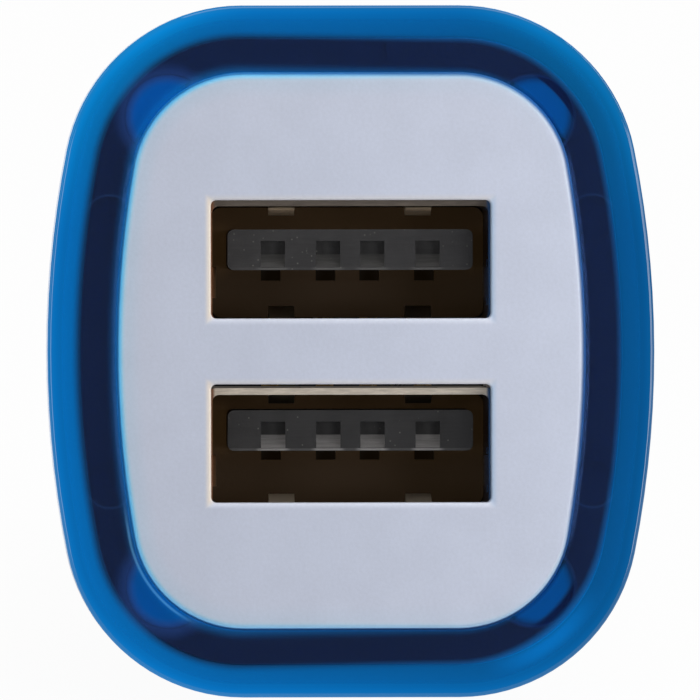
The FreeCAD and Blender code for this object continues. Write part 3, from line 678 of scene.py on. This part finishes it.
def clear_blue(finish):
    """Clear blue plastic, a little milky, that lets lamps shine through to what lies behind it."""
    made, tree, output = new_material("clear_blue")
    at = FacePoint(tree)
    band = clear_band(at, finish)
    colour, glow = over_head(at, finish, band)
    colour, glow = plate_feet(at, finish, colour, glow)
    colour, glow = plate_light(at, finish, colour, glow)
    glow = scaled_colour(boss_arcs(at, finish, glow), fade(at.inward, 0.4, 0.6))
    colour, glow = bent_edge(at, colour, glow, band)
    shader = surface(tree, output, base_color=colour, roughness=finish.roughness, ior=finish.ior,
                     transmission_weight=finish.clearness, emission_color=glow, emission_strength=1.0,
                     specular_ior_level=0.25)
    passing = Signal(node(tree, "ShaderNodeBsdfTransparent", {"Color": LAMP_TINT}).outputs[0])
    lamp_ray = signals(node(tree, "ShaderNodeLightPath"))["Is Shadow Ray"]
    mixed = made_from("ShaderNodeMixShader", {0: lamp_ray, 1: shader, 2: passing})
    tree.links.new(mixed.socket, output.inputs["Surface"])
    return made


def black_plastic(name, colour, grain_size, grain_depth, roughness):
    """Black moulding with its own grain, and a few hair scratches that shine."""
    made, tree, output = new_material(name)
    place = placed(tree, plug_place())["Place"]
    grain = placed(tree, moulded_grain(), place=place, size=grain_size, mottle=0.2)
    scratches = placed(tree, fine_scratches(), place=place, scale=0.45)["Mask"] * 0.3
    tone = blend_colour(grain["Tone"], shade(colour, 0.85), shade(colour, 1.15))
    tone = blend_colour(scratches, tone, shade(colour, 2.2))
    surface(tree, output, base_color=tone, normal=bumped(grain["Height"], grain_depth),
            roughness=scratches * -0.3 + varied_roughness(grain["Height"], roughness, 0.08))
    return made


def plated_metal(name, colour, stretch, roughness, line_depth, rubbed=0.25):
    """Plated metal with fine lines along one way, and hair scratches where it is rubbed."""
    made, tree, output = new_material(name)
    place = placed(tree, plug_place())["Place"]
    lines = placed(tree, drawn_lines(), place=place, stretch=stretch)
    scratches = placed(tree, fine_scratches(), place=place, scale=0.9)["Mask"] * rubbed
    tone = blend_colour(lines["Tone"], shade(colour, 0.82), colour)
    tone = blend_colour(scratches, tone, shade(colour, 0.55))
    rough = ramp(lines["Height"], *LINE_RANGE, roughness - 0.07, roughness + 0.1)
    surface(tree, output, base_color=tone, metallic=1.0, roughness=scratches * 0.4 + rough,
            normal=bumped(lines["Height"] - scratches, line_depth))
    return made


def shell_light(at, finish, port_up, side):
    """Faint light on a shell's side walls, less on the right, and on its roof behind the plate."""
    walls = side * ramp(at.inward - SHELL_FRONT, 0.2, 1.5) * ramp(at.across, *OVER_MIDDLE, 1.0, 0.3)
    light = blend_colour(walls, BLACK, finish.bounce_colour)
    roof = ramp(port_up - SHELL_HALF_HEIGHT, -0.02, 0.0) * ramp(at.inward, 1.7, 2.6, 1.0, 0.4)
    return blend_colour(roof, light, finish.roof_colour)


def shell_sheet(port, finish, edge_colour, edge_share, finger_side, finger_highlight):
    """Tin-plated sheet: bronze in the port, with painted light on its cut front edge and on the fingers of one
    side, and painted light and shade on its side walls and roof.
    """
    made, tree, output = new_material("shell_steel_" + port)
    at = FacePoint(tree)
    port_up = at.up - SHELL_MIDDLE[port]
    lines = placed(tree, drawn_lines(), place=at.place, stretch=(0.6, 3.0, 6.0))
    rubbed = placed(tree, drawn_lines(), place=at.place, stretch=(1.1, 0.5, 9.0))["Tone"]
    # Painted highlight on the fingers of one side.
    finger = between(port_up * finger_side, *FINGER_RISE) * fade(abs(at.across), *FINGER_SIDES)
    side = ramp(abs(at.across), *SHELL_SIDES)
    # Painted light and shade on the side walls and the edge beside them, lit on the left and shaded on the right.
    tint = blend_colour(fade(at.across, *OVER_MIDDLE), finish.shaded_wall_colour, finish.lit_wall_colour)
    edge = blend_colour(rubbed, shade(edge_colour, 0.82), shade(edge_colour, 1.12))
    edge = blend_colour(ramp(abs(at.across), SHELL_INNER_HALF - 0.15, SHELL_INNER_HALF), edge, tint)
    front = fade(at.inward, SHELL_FRONT + 0.01, SHELL_FRONT + 0.1)
    tone = blend_colour(lines["Tone"], shade(finish.shell_colour, 0.75), finish.shell_colour)
    tone = blend_colour(side, tone, tint)
    tone = blend_colour(finger * ramp(lines["Height"], 0.4, 0.6, 0.6, 1.0), tone, finger_highlight)
    tone = blend_colour(front, tone, edge)
    surface(tree, output, base_color=tone, metallic=1.0 - largest(front * edge_share, finger, side * 0.7),
            roughness=ramp(lines["Height"], *LINE_RANGE, 0.3, 0.48), normal=bumped(lines["Height"], 0.003),
            emission_color=shell_light(at, finish, port_up, side), emission_strength=1.0)
    return made


def tongue_lead_ins(at, rise):
    """Masks of the slopes below the tongue's recesses, and of its lower edge beside the contacts, where light is
    painted.
    """
    slopes = between(at.inward - TONGUE_FRONT, 0.01, 0.04, 0.9, 0.95)
    slopes = slopes * between(rise, 0.1, 0.14, RECESS_RISE - 0.02, RECESS_RISE + 0.02)
    beside = [ramp(abs(abs(at.across) - middle), *CONTACT_SIDES, 0.9, 0.15) for middle in CONTACT_PLACES]
    return slopes, between(rise, 0.0, 0.03, 0.1, 0.13) * largest(*beside)


def block_light(at, rise, deep, slot):
    """Share of the faint light deep in the port, most to the left of the tongue and least in the slots."""
    beside = ramp(abs(at.across), *TONGUE_SIDES) * between(rise, -0.6, 0.3, 1.5, 2.4)
    beside = beside * at.over_left(1.0, 0.15)
    return (slot * -0.5 + deep) * (beside * 1.5 + 1.0)


def charcoal_moulding(port, finish, level, tongue_light_colour, depth_level):
    """Glass-filled moulding: charcoal with pale specks on the tongue, brown in the depth of the port, with painted
    light on the tongue's slopes and lower edge and in the depth, and painted shade in the slots.
    """
    made, tree, output = new_material("charcoal_" + port)
    at = FacePoint(tree)
    rise = at.up - TONGUE_BOTTOM[port]
    grain = placed(tree, moulded_grain(), place=at.place, size=0.22, mottle=0.8)
    specks = placed(tree, dust_specks(), place=at.place, spacing=0.22, size=0.25, share=0.2)["Mask"]
    streaks = placed(tree, drawn_lines(), place=at.place, stretch=(0.5, 3.0, 7.0))["Tone"]
    tongue = shade(finish.tongue_colour, level)
    tone = blend_colour(grain["Tone"], shade(tongue, 0.85), shade(tongue, 1.12))
    tone = blend_colour(streaks * 0.35, tone, shade(tongue, 1.5))
    slopes, foot_line = tongue_lead_ins(at, rise)
    lead = blend_colour(streaks, shade(tongue_light_colour, 0.72), shade(tongue_light_colour, 1.1))
    tone = blend_colour(slopes, tone, lead)
    tone = blend_colour(foot_line, tone, tongue_light_colour)
    # Painted light: the brown block is painted brighter above the port's middle and darker at the right.
    fall = ramp(at.up - SHELL_MIDDLE[port], -1.2, 1.6, 0.72, 1.7) * depth_level
    fall = fall * ramp(at.across, 4.6, 6.0, 1.0, depth_level)
    deep = ramp(at.inward, *BLOCK_SHADE)
    tone = blend_colour(deep, tone, scaled_colour(tuple(finish.block_colour), fall))
    # Painted shade: the slots in the block are painted nearly black.
    slot = ramp(at.inward, BLOCK_FRONT + 0.02, BLOCK_FRONT + 0.1)
    tone = blend_colour(slot, tone, SLOT_SHADE)
    tone = blend_colour(specks * ramp(at.inward, 4.0, 9.0, 0.35, 0.0), tone, finish.speck_colour)
    light = scaled_colour(tuple(finish.bounce_colour), block_light(at, rise, deep, slot) * depth_level)
    surface(tree, output, base_color=tone, roughness=0.6, normal=bumped(grain["Height"], 0.01),
            emission_color=blend_colour(slopes * 0.16, light, tongue_light_colour), emission_strength=1.0,
            specular_ior_level=0.3)
    return made


def plain_part(name, colour, roughness, grain_size=0.3, depth=0.005):
    """Small electronic part with a fine grain of its own."""
    made, tree, output = new_material(name)
    place = placed(tree, plug_place())["Place"]
    grain = placed(tree, moulded_grain(), place=place, size=grain_size, mottle=1.2)
    tone = blend_colour(grain["Tone"], shade(colour, 0.85), shade(colour, 1.12))
    surface(tree, output, base_color=tone, roughness=roughness, normal=bumped(grain["Height"], depth))
    return made


def shortening_spring():
    """A copy of the tip's spring, attached to the charger's body, that stands in for the hidden original."""
    coil = frame["nodes"]["tip_spring"]
    made = coil.copy()
    made.data = coil.data.copy()
    made.name = "shortening_spring"
    bpy.context.scene.collection.objects.link(made)
    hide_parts("tip_spring")
    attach(made, "charger")
    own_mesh(made)


class PieceOperator:
    """What every operator of this file shares."""
    bl_options = {"REGISTER", "UNDO"}


class CHARGER_OT_face_plate(PieceOperator, bpy.types.Operator):
    """Finish the white face plate"""
    bl_idname = "charger.face_plate"
    bl_label = "Face plate"

    def execute(self, context):
        dress_all(["face_plate"], white_plate(context.scene.charger_plate))
        return {"FINISHED"}


class CHARGER_OT_light_collar(PieceOperator, bpy.types.Operator):
    """Finish the clear blue ring around the head"""
    bl_idname = "charger.light_collar"
    bl_label = "Light collar"

    def execute(self, context):
        dress_all(["light_collar"], clear_blue(context.scene.charger_collar))
        return {"FINISHED"}


class CHARGER_OT_main_body(PieceOperator, bpy.types.Operator):
    """Finish the black head and barrel, and the nose cap"""
    bl_idname = "charger.main_body"
    bl_label = "Body and nose"

    def execute(self, context):
        finish = context.scene.charger_plug
        dress_all(["main_body"], black_plastic("black_body", finish.body_colour, grain_size=0.25,
                                               grain_depth=0.02, roughness=0.55))
        dress_all(["nose_cap"], black_plastic("black_nose", finish.nose_colour, grain_size=0.4,
                                              grain_depth=0.006, roughness=0.38))
        return {"FINISHED"}


class CHARGER_OT_plug_contacts(PieceOperator, bpy.types.Operator):
    """Finish the tip, its spring and seat, and the two side contacts"""
    bl_idname = "charger.plug_contacts"
    bl_label = "Plug contacts"

    def execute(self, context):
        finish = context.scene.charger_plug
        nickel = plated_metal("nickel", finish.nickel_colour, stretch=(0.5, 11.0, 0.5), roughness=0.2,
                              line_depth=0.001, rubbed=0.06)
        dress_all(["tip_contact"], nickel)
        spring_steel = plated_metal("spring_steel", finish.contact_colour, stretch=(3.0, 3.0, 3.0),
                                    roughness=0.35, line_depth=0.002)
        dress_all(["tip_spring"], spring_steel)
        shortening_spring()
        brass = plated_metal("brass", srgb(196, 168, 96), stretch=(3.0, 3.0, 3.0), roughness=0.35,
                             line_depth=0.003)
        dress_all(["spring_seat"], brass)
        ground_steel = plated_metal("ground_steel", finish.contact_colour, stretch=(8.0, 0.4, 8.0),
                                    roughness=0.3, line_depth=0.003, rubbed=0.14)
        dress_all(["ground_contact_left", "ground_contact_right"], ground_steel)
        return {"FINISHED"}


class CHARGER_OT_ports(PieceOperator, bpy.types.Operator):
    """Finish the two USB receptacles: shells, tongues and contacts"""
    bl_idname = "charger.ports"
    bl_label = "USB ports"

    def execute(self, context):
        finish = context.scene.charger_port
        dress_all(["usb_shell_upper"], shell_sheet("upper", finish, finish.shaded_edge_colour, edge_share=0.6,
                                                   finger_side=1.0, finger_highlight=finish.roof_finger_highlight))
        dress_all(["usb_shell_lower"], shell_sheet("lower", finish, finish.edge_colour, edge_share=0.9,
                                                   finger_side=-1.0, finger_highlight=finish.finger_highlight))
        # The tongues are painted at two levels, the lower one darker, and the painted light on their slopes is
        # brighter in the lower port.
        upper = charcoal_moulding("upper", finish, level=0.7, tongue_light_colour=srgb(86, 85, 84), depth_level=0.86)
        lower = charcoal_moulding("lower", finish, level=0.46, tongue_light_colour=srgb(128, 126, 125),
                                  depth_level=0.92)
        dress_all(["usb_insulator_upper"], upper)
        dress_all(["usb_insulator_lower"], lower)
        gold = plated_metal("contact_gold", srgb(212, 175, 105), stretch=(2.0, 2.0, 2.0), roughness=0.25,
                            line_depth=0.002, rubbed=0.1)
        dress_all(["usb_contacts_upper", "usb_contacts_lower"], gold)
        return {"FINISHED"}


class CHARGER_OT_circuit_board(PieceOperator, bpy.types.Operator):
    """Finish the board and the parts on it"""
    bl_idname = "charger.circuit_board"
    bl_label = "Circuit board"

    def execute(self, context):
        board = plain_part("board_green", srgb(22, 92, 52), roughness=0.35, grain_size=0.8)
        ferrite = plain_part("ferrite", srgb(52, 52, 54), roughness=0.7, grain_size=0.2, depth=0.02)
        copper = plated_metal("copper", srgb(190, 110, 62), stretch=(0.5, 0.5, 9.0), roughness=0.35,
                              line_depth=0.02)
        can = plain_part("capacitor_can", srgb(36, 40, 58), roughness=0.35)
        chip = plain_part("chip_black", srgb(34, 34, 36), roughness=0.55, grain_size=0.12)
        dress_all(["main_board"], board)
        dress_all(["inductor_core"], ferrite)
        dress_all(["inductor_winding"], copper)
        dress_all(["input_capacitor", "output_capacitor"], can)
        dress_all(["regulator_chip", "port_controller_chip", "rectifier_diode"], chip)
        dress_all(["indicator_leds"], plain_part("led_lens", srgb(235, 232, 205), roughness=0.2))
        dress_all(["chip_resistors"], plain_part("resistor_black", srgb(30, 30, 32), roughness=0.4))
        dress_all(["chip_capacitors"], plain_part("capacitor_tan", srgb(168, 140, 104), roughness=0.5))
        return {"FINISHED"}


def floor_material():
    """Pale floor that keeps the object's shadow and is plain white behind it."""
    made, tree, output = new_material("studio_floor")
    grain = Signal(node(tree, "ShaderNodeTexNoise", {"Scale": 30.0}).outputs[0])
    tone = blend_colour(grain, (0.90, 0.90, 0.90), (0.94, 0.94, 0.94))
    lit = made_from("ShaderNodeBsdfDiffuse", {"Color": tone})
    plain = Signal(node(tree, "ShaderNodeEmission", {"Color": (1, 1, 1, 1), "Strength": 1.0}).outputs[0])
    path = signals(node(tree, "ShaderNodeLightPath"))
    seen = largest(path["Is Camera Ray"] * 0.96, path["Is Glossy Ray"] * 0.25, path["Is Transmission Ray"])
    mixed = made_from("ShaderNodeMixShader", {0: seen, 1: lit, 2: plain})
    tree.links.new(mixed.socket, output.inputs["Surface"])
    return made


def direction_of(azimuth, elevation):
    """Direction away from the face, turned to its right and raised, both in degrees."""
    side, rise = math.radians(azimuth), math.radians(elevation)
    level = OUTWARD * math.cos(side) + ACROSS * math.sin(side)
    return level * math.cos(rise) + UPWARD * math.sin(rise)


def lamp(name, azimuth, elevation, distance, width, height, level):
    """Soft rectangular lamp turned towards the middle of the face.

    Its level is the light that it adds to a surface square to it, where 1 shows a colour as written.
    """
    data = bpy.data.lights.new(name, "AREA")
    data.shape = "RECTANGLE"
    data.size = width
    data.size_y = height
    data.energy = level * (math.pi * distance) ** 2
    made = bpy.data.objects.new(name, data)
    direction = direction_of(azimuth, elevation)
    made.location = FACE_CENTRE + direction * distance
    made.rotation_euler = direction.to_track_quat("Z", "Y").to_euler()
    bpy.context.scene.collection.objects.link(made)


def camera(studio):
    """Camera straight in front of the face, a touch to its left and above it."""
    data = bpy.data.cameras.new("camera")
    image_pixels = 700
    data.sensor_width = 36
    data.lens = data.sensor_width * studio.distance / MM * studio.pixels_per_mm / image_pixels
    data.clip_start = 0.05
    data.clip_end = 20
    made = bpy.data.objects.new("camera", data)
    towards = OUTWARD * math.cos(studio.azimuth) - ACROSS * math.sin(studio.azimuth)
    towards = towards * math.cos(studio.elevation) + UPWARD * math.sin(studio.elevation)
    face_right_of_middle = 1.1
    face_below_middle = 1.4
    shift = UPWARD * face_below_middle - ACROSS * face_right_of_middle
    aim = FACE_CENTRE + shift * MM / studio.pixels_per_mm
    made.location = aim + towards * studio.distance
    made.rotation_euler = (-towards).to_track_quat("-Z", "Y").to_euler()
    bpy.context.scene.collection.objects.link(made)
    bpy.context.scene.camera = made


def even_light(level):
    """World: plain even light, and white where it is seen through the clear ring."""
    world = bpy.data.worlds.new("studio_world")
    world.use_nodes = True
    tree = world.node_tree
    tree.nodes.clear()
    output = node(tree, "ShaderNodeOutputWorld")
    path = signals(node(tree, "ShaderNodeLightPath"))
    seen = largest(path["Is Camera Ray"], path["Is Transmission Ray"])
    strength = made_from("ShaderNodeMix", {0: seen, 2: level, 3: 1.0})
    back = made_from("ShaderNodeBackground", {"Color": (1, 1, 1, 1), "Strength": strength})
    tree.links.new(back.socket, output.inputs["Surface"])
    bpy.context.scene.world = world


class CHARGER_OT_stage(PieceOperator, bpy.types.Operator):
    """Build the floor, the lamps and the camera"""
    bl_idname = "charger.stage"
    bl_label = "Studio"

    def execute(self, context):
        studio = context.scene.charger_studio
        floor_mesh = bpy.data.meshes.new("studio_floor")
        half = 6.0
        corners = [(-half, -half, 0), (half, -half, 0), (half, half, 0), (-half, half, 0)]
        floor_mesh.from_pydata(corners, [], [(0, 1, 2, 3)])
        floor = bpy.data.objects.new("studio_floor", floor_mesh)
        floor.data.materials.append(floor_material())
        context.scene.collection.objects.link(floor)
        lamp("near_right", azimuth=52, elevation=6, distance=0.14, width=0.05, height=0.05, level=0.24)
        lamp("front_right", azimuth=24, elevation=0, distance=0.40, width=0.12, height=0.10, level=0.16)
        lamp("front_left", azimuth=-24, elevation=0, distance=0.40, width=0.12, height=0.10, level=0.10)
        lamp("top_softbox", azimuth=8, elevation=62, distance=0.60, width=0.45, height=0.45, level=0.42)
        lamp("right_panel", azimuth=75, elevation=25, distance=0.60, width=0.20, height=0.45, level=0.18)
        lamp("left_panel", azimuth=-75, elevation=20, distance=0.60, width=0.20, height=0.45, level=0.12)
        lamp("rim_strip", azimuth=82, elevation=38, distance=0.60, width=0.03, height=0.30, level=0.12)
        lamp("rear_softbox", azimuth=160, elevation=40, distance=0.60, width=0.35, height=0.35, level=0.30)
        even_light(studio.sky_level)
        camera(studio)
        view = context.scene.view_settings
        view.view_transform = "Standard"
        return {"FINISHED"}


PIECE_OPERATORS = (
    CHARGER_OT_face_plate,
    CHARGER_OT_light_collar,
    CHARGER_OT_main_body,
    CHARGER_OT_plug_contacts,
    CHARGER_OT_ports,
    CHARGER_OT_circuit_board,
    CHARGER_OT_stage,
)


class CHARGER_PT_sidebar(bpy.types.Panel):
    """Lists the pieces and their finishes"""
    bl_idname = "CHARGER_PT_sidebar"
    bl_label = "Car charger"
    bl_space_type = "VIEW_3D"
    bl_region_type = "UI"
    bl_category = SIDEBAR_TAB

    def draw(self, context):
        for operator in PIECE_OPERATORS:
            self.layout.operator(operator.bl_idname)
        for name in PROPERTY_GROUPS:
            group = getattr(context.scene, name)
            box = self.layout.box()
            for setting in group.__annotations__:
                box.prop(group, setting)


PROPERTY_GROUPS = {
    "charger_plate": ChargerPlateFinish,
    "charger_collar": ChargerCollarFinish,
    "charger_plug": ChargerPlugFinish,
    "charger_port": ChargerPortFinish,
    "charger_studio": ChargerStudio,
}


def register():
    for group in PROPERTY_GROUPS.values():
        bpy.utils.register_class(group)
    for name, group in PROPERTY_GROUPS.items():
        setattr(bpy.types.Scene, name, bpy.props.PointerProperty(type=group))
    for operator in PIECE_OPERATORS:
        bpy.utils.register_class(operator)
    bpy.utils.register_class(CHARGER_PT_sidebar)


def unregister():
    bpy.utils.unregister_class(CHARGER_PT_sidebar)
    for operator in reversed(PIECE_OPERATORS):
        bpy.utils.unregister_class(operator)
    for name, group in PROPERTY_GROUPS.items():
        delattr(bpy.types.Scene, name)
        bpy.utils.unregister_class(group)


def main():
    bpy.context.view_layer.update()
    register()
    for operator in PIECE_OPERATORS:
        category, name = operator.bl_idname.split(".")
        getattr(getattr(bpy.ops, category), name)()


if __name__ == "__main__":
    main()
